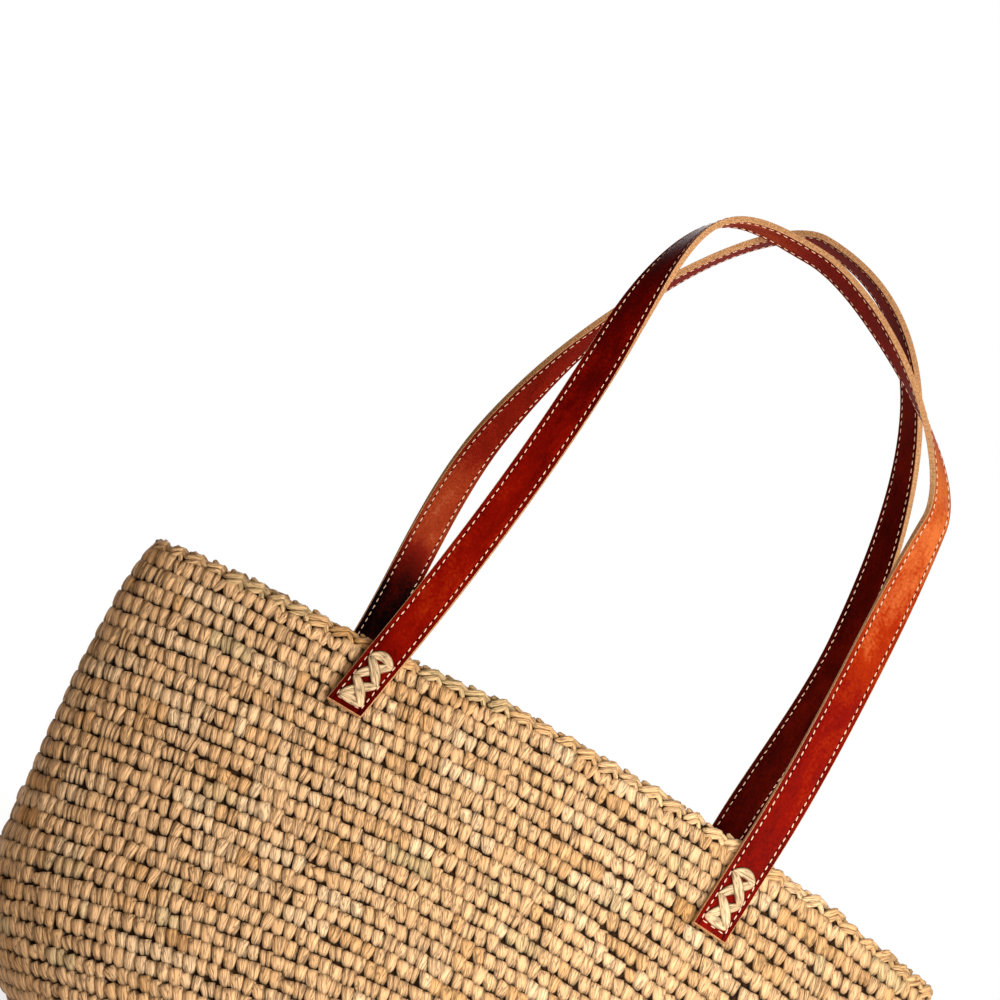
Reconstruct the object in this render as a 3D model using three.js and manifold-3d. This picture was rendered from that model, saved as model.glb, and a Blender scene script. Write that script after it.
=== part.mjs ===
// Round crocheted raffia bag with two leather shoulder handles laced to its wall.
// Millimetres, +Z up, X along the mouth, the front faces -Y, origin under the middle of the base.

import * as THREE from 'three';
import { mergeVertices } from 'three/addons/utils/BufferGeometryUtils.js';
import Module from 'manifold-3d';

// Crocheted body: a round base that swells into an oval mouth
const BASE_RADIUS = 112;
const FABRIC = 7;
const MOUTH_HALF_WIDTH = 241;
const MOUTH_HALF_DEPTH = 60;
const FRONT_HEIGHT = 281;
const SIDE_HEIGHT = 262;
const FLANK_FLARE = 9.8;
const FLANK_SWELL = 6.5;
const FLANK_FULL_BELOW_RIM = 47;
const SIDE_ROUND_HEIGHT = 96;
const FRONT_ROUND = 14;
const FLAT_BELOW_RIM = 50;
const RIM_SLOPE = 0.1;
const FRONT_SWELL = 95;

// Soft sag of the mouth: how deep it is, where along X and how far it reaches
const RIM_DIP = 5;
const RIM_DIP_AT = -110;
const RIM_DIP_REACH = 80;

// Corded edging that finishes the mouth
const EDGING_WIDTH = 6.2;
const EDGING_HEIGHT = 5.6;

// Handles: two leather layers, glued back to back
const STRAP_WIDTH = 20;
const LEATHER = 1.5;
const GLUE_LINE = 0.3;
const TAB_RISE = 12;
const APEX_DEPTH = 15;
const SHOULDER_LEAN_IN = 0.6;

// Raffia lacing through six holes of each tab
const LACE_RADIUS = 1.3;
const LACE_WIDTH = 4.6;
const LACE_THICKNESS = 1.8;
const LACE_PINCH = 0.7;
const HOLE_ACROSS = 13;
const HOLE_TO_END = 5;
const HOLE_ROWS = 3;
const HOLE_EASE = 0.5;

// Clearance between pieces that touch
const CLEARANCE = 0.3;

// Fineness
const ROUND_SEGMENTS = 48;
const STRAP_STEPS = 30;
const LACE_SIDES = 4;
const HOLE_SIDES = 6;
const LEVELS = [0, 0.03, 0.07, 0.13, 0.21, 0.3, 0.4, 0.5, 0.61, 0.72, 0.83, 0.92, 1];

// Each handle as seen from its own side of the bag: feet, shoulders and crown along X, and how far
// the shoulders and the crown rise above the feet. Leans are degrees from upright towards +X.
// A tab drops below the wall's top edge, its end and its hole rows skew by some degrees, and its rows
// stand a pitch apart. A strap turns from flat on the wall to its twist at the crown between two
// shares of its half length.
const FRONT_HANDLE = {
  crown: { x: -12.7, rise: 288.5, twist: 103 },
  left: {
    foot: -102, lean: 9, drop: 33, skew: 8, pitch: 12.8,
    shoulder: -82, rise: 196, ease: 1, tail: 97, crown: 48.5, turn: [0.47, 0.98],
  },
  right: {
    foot: 114.5, lean: 3.3, drop: 41, skew: 0, pitch: 14.2,
    shoulder: 113, rise: 191, ease: -2, tail: 38, crown: 39, turn: [0.3, 0.89],
  },
};
const BACK_HANDLE = {
  crown: { x: 10.2, rise: 303.8, twist: 86 },
  left: {
    foot: -110, lean: -1, drop: 38, skew: 0, pitch: 13.5,
    shoulder: -112, rise: 118.5, ease: 6, tail: 102, crown: 79.5, turn: [0, 0.98],
  },
  right: {
    foot: 115, lean: 0, drop: 38, skew: 0, pitch: 13.5,
    shoulder: 114, rise: 127.5, ease: -10, tail: 104, crown: 28.5, turn: [0, 0.86],
  },
};

const wasm = await Module();
wasm.setup();

function vec(x, y, z) {
  return new THREE.Vector3(x, y, z);
}

function material(color, roughness) {
  return new THREE.MeshStandardMaterial({ color, roughness, metalness: 0 });
}

// Skin over a row of sections with equal point counts, closed into a ring or capped at both ends.
// The two halves of a section are split along matching diagonals, so twisted layers stay parallel.
function loft(sections, ring) {
  const count = sections[0].length;
  const index = [];
  const last = ring ? sections.length : sections.length - 1;
  for (let i = 0; i < last; i++) {
    const here = i * count;
    const next = ((i + 1) % sections.length) * count;
    for (let j = 0; j < count; j++) {
      const k = (j + 1) % count;
      const cross = j < count / 2 ? [here + j, next + k] : [here + k, next + j];
      index.push(here + j, here + k, cross[1]);
      index.push(next + k, next + j, cross[0]);
    }
  }
  if (!ring) {
    const end = (sections.length - 1) * count;
    for (let j = 1; j < count - 1; j++) {
      index.push(0, j + 1, j);
      index.push(end, end + j, end + j + 1);
    }
  }
  const geometry = new THREE.BufferGeometry();
  const positions = sections.flat().flatMap((point) => point.toArray());
  geometry.setAttribute('position', new THREE.Float32BufferAttribute(positions, 3));
  geometry.setIndex(index);
  return geometry;
}

function toSolid(source) {
  const geometry = source.clone();
  geometry.deleteAttribute('normal');
  geometry.deleteAttribute('uv');
  const merged = mergeVertices(geometry, 1e-4);
  const vertProperties = new Float32Array(merged.attributes.position.array);
  const triVerts = new Uint32Array(merged.index.array);
  return new wasm.Manifold(new wasm.Mesh({ numProp: 3, vertProperties, triVerts }));
}

function toGeometry(solid) {
  const mesh = solid.getMesh();
  const geometry = new THREE.BufferGeometry();
  geometry.setAttribute('position', new THREE.BufferAttribute(mesh.vertProperties.slice(), 3));
  geometry.setIndex(new THREE.BufferAttribute(mesh.triVerts.slice(), 1));
  return geometry;
}

function piece(name, geometry, look) {
  geometry.computeVertexNormals();
  const mesh = new THREE.Mesh(geometry, look);
  mesh.name = name;
  return mesh;
}

// Profiles of the wall from the base's edge up to the mouth: at the sides a wide rounding under a
// steep full flank, at the front and back a tight rounding under a face that draws in to the mouth.
const wallFoot = BASE_RADIUS + CLEARANCE;
const sideRoundWidth = MOUTH_HALF_WIDTH - FLANK_FLARE - wallFoot;
const sideProfile = new THREE.Path();
sideProfile.moveTo(wallFoot, 0);
sideProfile.absellipse(
  wallFoot, SIDE_ROUND_HEIGHT, sideRoundWidth, SIDE_ROUND_HEIGHT, -Math.PI / 2, 0, false);
sideProfile.quadraticCurveTo(
  MOUTH_HALF_WIDTH + FLANK_SWELL, SIDE_HEIGHT - FLANK_FULL_BELOW_RIM, MOUTH_HALF_WIDTH, SIDE_HEIGHT);

const faceFoot = new THREE.Vector2(wallFoot + FRONT_ROUND, FRONT_ROUND);
const faceHead = new THREE.Vector2(
  MOUTH_HALF_DEPTH + RIM_SLOPE * FLAT_BELOW_RIM, FRONT_HEIGHT - FLAT_BELOW_RIM);
const frontProfile = new THREE.Path();
frontProfile.moveTo(wallFoot, 0);
frontProfile.absarc(wallFoot, FRONT_ROUND, FRONT_ROUND, -Math.PI / 2, 0, false);
frontProfile.bezierCurveTo(
  faceFoot.x, faceFoot.y + FRONT_SWELL,
  faceHead.x + RIM_SLOPE * FRONT_SWELL, faceHead.y - FRONT_SWELL,
  faceHead.x, faceHead.y);
frontProfile.lineTo(MOUTH_HALF_DEPTH, FRONT_HEIGHT);

// Point of the wall's outer face, by the share of the way up and the angle round from +X.
function outerPoint(level, angle) {
  const side = sideProfile.getPoint(level);
  const front = frontProfile.getPoint(level);
  const c = Math.cos(angle);
  const s = Math.sin(angle);
  const reach = (MOUTH_HALF_WIDTH * c - RIM_DIP_AT) / RIM_DIP_REACH;
  const dip = RIM_DIP * level * level * Math.exp(-reach * reach);
  return vec(side.x * c, front.x * s, front.y + (side.y - front.y) * c * c - dip);
}

function wallFrame(level, angle) {
  const step = 1e-3;
  const low = Math.max(level - step, 0);
  const high = Math.min(level + step, 1);
  const up = outerPoint(high, angle).sub(outerPoint(low, angle)).normalize();
  const round = outerPoint(level, angle + step).sub(outerPoint(level, angle - step)).normalize();
  return { point: outerPoint(level, angle), up, out: round.cross(up).normalize() };
}

const roundAngles = Array.from({ length: ROUND_SEGMENTS }, (_, i) => (i / ROUND_SEGMENTS) * 2 * Math.PI);

function wallGeometry() {
  const sections = roundAngles.map((angle) => {
    const frames = LEVELS.map((level) => wallFrame(level, angle));
    const outer = frames.map((f) => f.point);
    const inner = frames.map((f) => f.point.clone().addScaledVector(f.out, -FABRIC));
    return [...inner, ...outer.reverse()];
  });
  return loft(sections, true);
}

function edgingGeometry() {
  const sides = 8;
  const flat = 1 / Math.cos(Math.PI / sides);
  const sections = roundAngles.map((angle) => {
    const f = wallFrame(1, angle);
    const centre = f.point.clone().addScaledVector(f.out, -FABRIC / 2);
    centre.addScaledVector(f.up, CLEARANCE + EDGING_HEIGHT / 2);
    return Array.from({ length: sides }, (_, i) => {
      const a = -((i + 0.5) / sides) * 2 * Math.PI;
      return centre.clone()
        .addScaledVector(f.up, Math.sin(a) * flat * EDGING_HEIGHT / 2)
        .addScaledVector(f.out, Math.cos(a) * flat * EDGING_WIDTH / 2);
    });
  });
  return loft(sections, true);
}

// Seat of a tab on the wall, in its handle's own turn: origin on the wall's top edge, along the strap,
// across it and out of the wall, with the place of each lacing hole across and along.
function tabSeat(side, turn) {
  const angle = turn - Math.acos(side.foot / MOUTH_HALF_WIDTH);
  const { point, out } = wallFrame(1, angle);
  const up = vec(0, 0, 1);
  point.applyAxisAngle(up, -turn);
  out.applyAxisAngle(up, -turn);
  const lean = THREE.MathUtils.degToRad(side.lean);
  const upright = vec(0, out.z, -out.y).normalize();
  const level = upright.clone().cross(out);
  const along = upright.clone().multiplyScalar(Math.cos(lean)).addScaledVector(level, Math.sin(lean));
  const across = along.clone().cross(out);
  const skew = Math.tan(THREE.MathUtils.degToRad(side.skew));
  const holes = Array.from({ length: HOLE_ROWS }, (_, i) => {
    const row = -side.drop + HOLE_TO_END + (HOLE_ROWS - 1 - i) * side.pitch;
    const half = HOLE_ACROSS / 2;
    return { left: [-half, row - skew * half], right: [half, row + skew * half] };
  });
  return { point, out, along, across, skew, holes, drop: side.drop };
}

function seatPoint(seat, across, along, out) {
  return seat.point.clone()
    .addScaledVector(seat.across, across)
    .addScaledVector(seat.along, along)
    .addScaledVector(seat.out, out);
}

const STRAP_THICKNESS = 2 * LEATHER + GLUE_LINE;
const STRAP_MIDDLE = CLEARANCE + STRAP_THICKNESS / 2;
const LAYERS = {
  outer: [GLUE_LINE / 2, GLUE_LINE / 2 + LEATHER],
  lining: [-GLUE_LINE / 2 - LEATHER, -GLUE_LINE / 2],
};

function strapSection(centre, across, out, [inside, outside]) {
  const half = STRAP_WIDTH / 2;
  const corners = [[-half, outside], [half, outside], [half, inside], [-half, inside]];
  return corners.map(([a, o]) => centre.clone().addScaledVector(across, a).addScaledVector(out, o));
}

function tabGeometry(seat, layer) {
  const slanted = seat.across.clone().addScaledVector(seat.along, seat.skew);
  const end = seatPoint(seat, 0, -seat.drop, STRAP_MIDDLE);
  const bend = seatPoint(seat, 0, TAB_RISE - CLEARANCE, STRAP_MIDDLE);
  const sections = [
    strapSection(end, slanted, seat.out, layer),
    strapSection(bend, seat.across, seat.out, layer),
  ];
  return loft(sections, false);
}

// One half of a handle's middle line, from the foot over the shoulder to the crown.
function halfRoute(side, foot, along, crown, top) {
  const shoulder = vec(side.shoulder, 0, foot.z + side.rise);
  shoulder.y = THREE.MathUtils.lerp(foot.y, top.y, SHOULDER_LEAN_IN);
  const ease = THREE.MathUtils.degToRad(side.ease);
  const rise = vec(Math.sin(ease), (top.y - foot.y) / crown.rise, Math.cos(ease)).normalize();
  const third = foot.distanceTo(shoulder) / 3;
  const inward = Math.sign(side.foot - crown.x);
  const route = new THREE.CurvePath();
  route.add(new THREE.CubicBezierCurve3(
    foot, foot.clone().addScaledVector(along, third),
    shoulder.clone().addScaledVector(rise, -third), shoulder));
  route.add(new THREE.CubicBezierCurve3(
    shoulder, shoulder.clone().addScaledVector(rise, side.tail),
    top.clone().add(vec(inward * side.crown, 0, 0)), top));
  return route;
}

function smooth(low, high, x) {
  return THREE.MathUtils.smoothstep(x, low, high);
}

// Stations of a whole loop from the left foot to the right one. The strap's outer face looks out of
// the bag at the feet and turns with the twist until it looks out of the loop at the crown.
function loopStations(handle, seats) {
  const stations = [];
  const { crown } = handle;
  const feet = {
    left: seatPoint(seats.left, 0, TAB_RISE, STRAP_MIDDLE),
    right: seatPoint(seats.right, 0, TAB_RISE, STRAP_MIDDLE),
  };
  const top = vec(crown.x, -APEX_DEPTH, (feet.left.z + feet.right.z) / 2 + crown.rise);
  for (const key of ['left', 'right']) {
    const side = handle[key];
    const route = halfRoute(side, feet[key], seats[key].along, crown, top);
    const half = [];
    for (let i = 0; i <= STRAP_STEPS; i++) {
      const share = i / STRAP_STEPS;
      const centre = route.getPoint(share);
      const step = 1e-3;
      const ahead = route.getPoint(Math.min(share + step, 1));
      const along = ahead.sub(route.getPoint(Math.max(share - step, 0))).normalize();
      if (key === 'right') along.negate();
      const front = vec(0, -1, 0);
      front.addScaledVector(along, -front.dot(along)).normalize();
      const away = front.clone().cross(along);
      const flat = Math.atan2(seats[key].out.dot(away), seats[key].out.dot(front));
      const full = THREE.MathUtils.degToRad(crown.twist);
      const twist = i === 0 ? flat : THREE.MathUtils.lerp(flat, full, smooth(...side.turn, share));
      const out = front.multiplyScalar(Math.cos(twist)).addScaledVector(away, Math.sin(twist));
      half.push({ centre, out, across: along.clone().cross(out) });
    }
    if (key === 'left') stations.push(...half);
    else stations.push(...half.reverse().slice(1));
  }
  return stations;
}

function loopGeometry(stations, layer) {
  return loft(stations.map((s) => strapSection(s.centre, s.across, s.out, layer)), false);
}

const TAB_FACE = CLEARANCE + STRAP_THICKNESS;
const INSIDE_BAR = -FABRIC - CLEARANCE - LACE_RADIUS;
const CUT_OVERRUN = 4;

function holeCutter(seat, [across, along]) {
  const reach = TAB_FACE + FABRIC + 2 * CUT_OVERRUN;
  const geometry = new THREE.CylinderGeometry(
    LACE_RADIUS + HOLE_EASE, LACE_RADIUS + HOLE_EASE, reach, HOLE_SIDES);
  const middle = seatPoint(seat, across, along, (TAB_FACE - FABRIC) / 2);
  const turn = new THREE.Matrix4().makeBasis(seat.across, seat.out, seat.across.clone().cross(seat.out));
  geometry.applyMatrix4(turn.setPosition(middle));
  return toSolid(geometry);
}

// Raffia strand through points in one plane, with half its width and half its thickness at each point.
function strand(points, side) {
  const sections = points.map(({ at, wide, deep }, i) => {
    const before = points[Math.max(i - 1, 0)].at;
    const after = points[Math.min(i + 1, points.length - 1)].at;
    const arriving = at.clone().sub(before).normalize();
    const leaving = after.clone().sub(at).normalize();
    const thick = arriving.add(leaving).cross(side).normalize();
    return Array.from({ length: LACE_SIDES }, (_, j) => {
      const a = (j / LACE_SIDES) * 2 * Math.PI;
      return at.clone()
        .addScaledVector(side, Math.cos(a) * wide)
        .addScaledVector(thick, Math.sin(a) * deep);
    });
  });
  return toSolid(loft(sections, false));
}

function roundStrand(from, to, side) {
  return strand([from, to].map((at) => ({ at, wide: LACE_RADIUS, deep: LACE_RADIUS })), side);
}

// Bridge of the lacing from one hole to another over the tab's face: round in the holes, flat between.
function bridge(seat, from, to, lift) {
  const crest = TAB_FACE + CLEARANCE + LACE_RADIUS;
  const at = (share, out) => seatPoint(
    seat, THREE.MathUtils.lerp(from[0], to[0], share), THREE.MathUtils.lerp(from[1], to[1], share), out);
  const round = { wide: LACE_RADIUS * LACE_PINCH, deep: LACE_RADIUS * LACE_PINCH };
  const flat = { wide: LACE_WIDTH / 2, deep: LACE_THICKNESS / 2 };
  const points = [
    { at: at(0, TAB_FACE), ...round },
    { at: at(0, crest), ...round },
    { at: at(0.3, crest + lift / 2), ...flat },
    { at: at(0.5, crest + lift), ...flat },
    { at: at(0.7, crest + lift / 2), ...flat },
    { at: at(1, crest), ...round },
    { at: at(1, TAB_FACE), ...round },
  ];
  const chord = at(1, 0).sub(at(0, 0)).normalize();
  return strand(points, chord.cross(seat.out));
}

// Lacing of one tab: a bar across the top row, a cross between each two rows, a bar across the bottom
// row, a leg through every hole and two bars inside the wall.
function lacingGeometry(seat) {
  const { holes } = seat;
  const over = LACE_THICKNESS + CLEARANCE;
  const solids = [];
  solids.push(bridge(seat, holes[0].left, holes[0].right, 0));
  for (let i = 0; i < HOLE_ROWS - 1; i++) {
    solids.push(bridge(seat, holes[i].left, holes[i + 1].right, over));
    solids.push(bridge(seat, holes[i].right, holes[i + 1].left, 0));
  }
  solids.push(bridge(seat, holes[HOLE_ROWS - 1].left, holes[HOLE_ROWS - 1].right, 0));
  for (const column of ['left', 'right']) {
    for (const row of holes) {
      const [across, along] = row[column];
      const face = seatPoint(seat, across, along, TAB_FACE + CLEARANCE);
      const inside = seatPoint(seat, across, along, INSIDE_BAR);
      solids.push(roundStrand(face, inside, seat.across));
    }
    const top = holes[0][column];
    const bottom = holes[HOLE_ROWS - 1][column];
    const high = seatPoint(seat, top[0], top[1] + LACE_RADIUS, INSIDE_BAR);
    const low = seatPoint(seat, bottom[0], bottom[1] - LACE_RADIUS, INSIDE_BAR);
    solids.push(roundStrand(high, low, seat.across));
  }
  return toGeometry(solids.reduce((whole, solid) => whole.add(solid)));
}

const raffia = material(0xcdaa76, 0.85);
const raffiaEdge = material(0xd6b684, 0.85);
const raffiaLace = material(0xe2cba0, 0.8);
const outerLeather = material(0x7c2410, 0.45);
const liningLeather = material(0x86301a, 0.5);

const bag = new THREE.Group();
const base = new THREE.CylinderGeometry(BASE_RADIUS, BASE_RADIUS, FABRIC, ROUND_SEGMENTS);
base.rotateX(Math.PI / 2).translate(0, 0, FABRIC / 2);
bag.add(piece('base_disc', base, raffia));
bag.add(piece('rim_edging', edgingGeometry(), raffiaEdge));

let wall = toSolid(wallGeometry());
for (const [name, handle, turn] of [['front', FRONT_HANDLE, 0], ['back', BACK_HANDLE, Math.PI]]) {
  const group = new THREE.Group();
  group.rotation.z = turn;
  group.updateMatrixWorld();
  const seats = { left: tabSeat(handle.left, turn), right: tabSeat(handle.right, turn) };
  const stations = loopStations(handle, seats);
  for (const [layerName, layer] of Object.entries(LAYERS)) {
    const look = layerName === 'outer' ? outerLeather : liningLeather;
    group.add(piece(`${name}_handle_${layerName}_loop`, loopGeometry(stations, layer), look));
    for (const [sideName, seat] of Object.entries(seats)) {
      let tab = toSolid(tabGeometry(seat, layer));
      for (const hole of seat.holes.flatMap((row) => Object.values(row))) {
        tab = tab.subtract(holeCutter(seat, hole));
      }
      group.add(piece(`${name}_handle_${layerName}_tab_${sideName}`, toGeometry(tab), look));
    }
  }
  for (const [sideName, seat] of Object.entries(seats)) {
    group.add(piece(`${name}_lacing_${sideName}`, lacingGeometry(seat), raffiaLace));
    for (const hole of seat.holes.flatMap((row) => Object.values(row))) {
      wall = wall.subtract(holeCutter(seat, hole).rotate(0, 0, THREE.MathUtils.radToDeg(turn)));
    }
  }
  bag.add(group);
}
bag.add(piece('side_wall', toGeometry(wall), raffia));

export default bag;
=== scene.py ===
"""Round crocheted raffia bag with two sewn leather handles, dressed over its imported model."""

import math

import bmesh
import bpy
import numpy as np
from mathutils import Matrix, Vector


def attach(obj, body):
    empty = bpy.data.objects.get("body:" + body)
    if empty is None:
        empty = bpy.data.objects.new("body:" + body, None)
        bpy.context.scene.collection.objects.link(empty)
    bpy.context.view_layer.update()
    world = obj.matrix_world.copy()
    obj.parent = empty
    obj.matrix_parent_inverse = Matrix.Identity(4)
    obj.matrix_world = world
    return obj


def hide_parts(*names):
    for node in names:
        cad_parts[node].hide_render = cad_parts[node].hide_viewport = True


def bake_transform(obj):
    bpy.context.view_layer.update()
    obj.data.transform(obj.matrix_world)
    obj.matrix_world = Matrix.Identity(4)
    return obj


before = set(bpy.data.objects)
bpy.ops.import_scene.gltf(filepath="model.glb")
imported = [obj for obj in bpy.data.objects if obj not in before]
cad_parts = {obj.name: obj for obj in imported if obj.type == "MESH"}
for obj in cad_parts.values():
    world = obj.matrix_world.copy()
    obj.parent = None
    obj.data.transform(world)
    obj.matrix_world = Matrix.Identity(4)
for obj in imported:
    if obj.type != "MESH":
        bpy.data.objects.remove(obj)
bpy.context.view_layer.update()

MM = 0.001
rng = np.random.default_rng(7)

# Crocheted body, the same driving sizes as the solids
CLEARANCE = 0.3 * MM
BASE_RADIUS = 112 * MM
WALL_FOOT = BASE_RADIUS + CLEARANCE
FABRIC = 7 * MM
MOUTH_HALF_WIDTH = 241 * MM
MOUTH_HALF_DEPTH = 60 * MM
FRONT_HEIGHT = 281 * MM
SIDE_HEIGHT = 262 * MM
FLANK_FLARE = 9.8 * MM
FLANK_SWELL = 6.5 * MM
FLANK_FULL_BELOW_RIM = 47 * MM
SIDE_ROUND_HEIGHT = 96 * MM
FRONT_ROUND = 14 * MM
FLAT_BELOW_RIM = 50 * MM
RIM_SLOPE = 0.1
FRONT_SWELL = 95 * MM
RIM_DIP = 5 * MM
RIM_DIP_AT = -110 * MM
RIM_DIP_REACH = 80 * MM

# Crochet stitches: rounds up the wall, the room that one stitch takes, how far it reaches behind the
# wall's face and how thick it is, and how far the stitches at the foot are flattened
WALL_ROUNDS = 35
STITCH_WIDTH = 6.4 * MM
STITCH_HEIGHT = 8.6 * MM
STITCH_BACK = 4.2 * MM
STITCH_THICKNESS = 5.1 * MM
ROUND_SHIFT = 0.42
WALL_BANDS = 5
INNER_BANDS = 2
BASE_ROUND = 8 * MM
FOOT_SINK = 1.4 * MM
FOOT_ROUNDS = 3

# Unevenness of the hand from stitch to stitch: turn in degrees, place and share of the size
UNEVEN_TURN = 6.5
UNEVEN_PLACE = 0.32 * MM
UNEVEN_SIZE = 0.085

# Shaded core between the outer and the inner stitches
CORE_DEPTH = 2.6 * MM
CORE_THICKNESS = 1.8 * MM
CORE_RISE = 4 * MM

# Corded edging of the mouth
EDGING_RISE = 2.9 * MM
EDGING_PITCH = 13 * MM

# Handles: two leather layers, glued and sewn back to back
STRAP_HALF = 10 * MM
LEATHER = 1.5 * MM
GLUE_HALF = 0.15 * MM
STRAP_MIDDLE = CLEARANCE + LEATHER + GLUE_HALF
TAB_RISE = 12 * MM
TAB_SPARE = 3 * MM
TAB_CURL = 5.5 * MM
TAB_PRESS = 1.5 * MM
TAB_PRESS_REACH = (1 * MM, 5 * MM)
APEX_DEPTH = 15 * MM
SHOULDER_LEAN_IN = 0.6
EDGE_EASE = 0.3 * MM

# Sewing along the straps: half sizes of one stitch across, along and out, and its slant in degrees
SEAM_LINE = STRAP_HALF - 2.6 * MM
SEAM_HEM = 3.6 * MM
SEAM_PITCH = 4.3 * MM
SEAM_STITCH = (0.36 * MM, 1.45 * MM, 0.3 * MM)
SEAM_SLANT = 4
SEAM_UNEVEN = 3
SEAM_GROOVE_HALF = 0.8 * MM
SEAM_GROOVE_DEPTH = 0.2 * MM

# Each handle as seen from its own side, in millimetres and degrees: crown, feet and shoulders as in the
# solids, the first row of lacing holes from the tab's end (hem), the rows' pitch, how far the tab's end
# curls off the wall, and the shares of the half length between which the strap turns. The last two lists
# say how light each of its two faces is along the strap, from the left tab to the right one: partly the
# dye and partly painted light, darker where a face lies in shade, as the back strap's lining near its
# feet, and lighter where a face catches the light.
FRONT_HANDLE = {
    "crown": dict(x=-12.7, rise=288.5, twist=103),
    "left": dict(foot=-102, lean=9, drop=33, skew=8, hem=5.8, pitch=12.2, curl=0.7,
                 shoulder=-82, rise=196, ease=1, tail=97, crown=48.5, turn=(0.47, 0.98)),
    "right": dict(foot=114.5, lean=3.3, drop=42, skew=0, hem=6.7, pitch=13.2, curl=0.5,
                  shoulder=113, rise=191, ease=-2, tail=38, crown=39, turn=(0.3, 0.89)),
    "outer": [(0, 0.22), (0.05, 0.38), (0.09, 0.53), (0.17, 0.46), (0.27, 0.25), (0.36, 0.3),
              (0.5, 0.35), (0.58, 0.6), (0.66, 1), (0.74, 0.85), (0.85, 0.47), (0.94, 0.4), (1, 0.36)],
    "lining": [(0, 0.4), (0.36, 0.55), (0.44, 0.8), (0.5, 0.5), (0.6, 0.55), (1, 0.4)],
}
BACK_HANDLE = {
    "crown": dict(x=10.2, rise=303.8, twist=86),
    "left": dict(foot=-110, lean=-1, drop=38, skew=0, hem=5.5, pitch=13, curl=0.5,
                 shoulder=-112, rise=118.5, ease=6, tail=102, crown=79.5, turn=(0, 0.98)),
    "right": dict(foot=115, lean=0, drop=38, skew=0, hem=5.5, pitch=13, curl=0.5,
                  shoulder=114, rise=127.5, ease=-10, tail=104, crown=28.5, turn=(0, 0.86)),
    "outer": [(0, 0.45), (0.2, 0.5), (0.45, 0.7), (0.55, 0.7), (0.8, 0.5), (1, 0.45)],
    "lining": [(0, 0.2), (0.09, 0.2), (0.21, 0.25), (0.33, 0.32), (0.48, 0.6), (0.64, 0.5), (0.79, 0.52),
               (0.82, 0.82), (0.865, 0.8), (0.89, 0.25), (0.905, 0), (1, 0)],
}

# Lacing through the tabs: how high the lower and the upper strands arch, how far they dip into a hole,
# how far they bow sideways, and the bars inside the wall
HOLE_ACROSS = 6 * MM
LACE_WIDTH = 5.6 * MM
LACE_THICKNESS = 1.3 * MM
LACE_LOW = 0.6 * MM
LACE_HIGH = 1.6 * MM
LACE_DIP = 0.6 * MM
TOP_BOW = 3.0 * MM
CROSS_BOW = 0.8 * MM
BOTTOM_BOW = 0.2 * MM
INNER_LACE_WIDTH = 3.6 * MM
INNER_LACE_OFF = 0.8 * MM
INNER_LACE_PAST = 2 * MM

# Floor and camera, with the camera's rise, roll and angle of view in degrees
FLOOR_RADIUS = 6
FLOOR_DROP = 0.2 * MM
CAMERA_PLACE = np.array([-92.04, -1546.35, 269.49]) * MM
CAMERA_RISE = 4
CAMERA_ROLL = 30.3
CAMERA_ANGLE = 19.667
LAMP_AIM = Vector((0, 0, 0.25))


# Small geometry helpers

def unit(v):
    return v / np.linalg.norm(v, axis=-1, keepdims=True)


def bezier(points, count=200):
    a, b, c, d = (np.asarray(p, float) for p in points)
    t = np.linspace(0, 1, count)[:, None]
    return a * (1 - t) ** 3 + 3 * b * t * (1 - t) ** 2 + 3 * c * t * t * (1 - t) + d * t ** 3


def arc(centre, radii, start, end, count=100):
    t = np.radians(np.linspace(start, end, count))
    return np.asarray(centre) + np.stack([radii[0] * np.cos(t), radii[1] * np.sin(t)], -1)


def by_length(points, count=801):
    """The same line with its points at equal steps."""
    steps = np.linalg.norm(np.diff(points, axis=0), axis=1)
    run = np.concatenate([[0], np.cumsum(steps)])
    at = np.linspace(0, run[-1], count)
    return np.stack([np.interp(at, run, c) for c in points.T], -1)


def smoothstep(low, high, x):
    t = np.clip((x - low) / (high - low), 0, 1)
    return t * t * (3 - 2 * t)


def to_matrix(x, y, z, at):
    """Matrix with the given directions as its axes and the given point as its origin."""
    return Matrix(np.vstack([np.stack([x, y, z, at], -1), [0, 0, 0, 1]]).tolist())


def rotation(axis, degrees):
    return Matrix.Rotation(math.radians(degrees), 3, axis)


def read_points(mesh):
    co = np.empty(len(mesh.vertices) * 3)
    mesh.vertices.foreach_get("co", co)
    return co.reshape(-1, 3)


def write_points(mesh, co):
    mesh.vertices.foreach_set("co", np.asarray(co, np.float32).ravel())
    mesh.update()


def to_mesh(bm, name):
    mesh = bpy.data.meshes.new(name)
    bm.to_mesh(mesh)
    bm.free()
    return mesh


def to_object(mesh, name, *looks):
    mesh.name = name
    mesh.polygons.foreach_set("use_smooth", np.ones(len(mesh.polygons), bool))
    for look in looks:
        mesh.materials.append(look)
    thing = bpy.data.objects.new(name, mesh)
    bpy.context.scene.collection.objects.link(thing)
    return thing


def add_attribute(mesh, name, kind, values):
    field = "vector" if kind == "FLOAT_VECTOR" else "value"
    data = mesh.attributes.new(name, kind, "POINT").data
    data.foreach_set(field, np.asarray(values, np.float32).ravel())


# Wall surface

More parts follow.
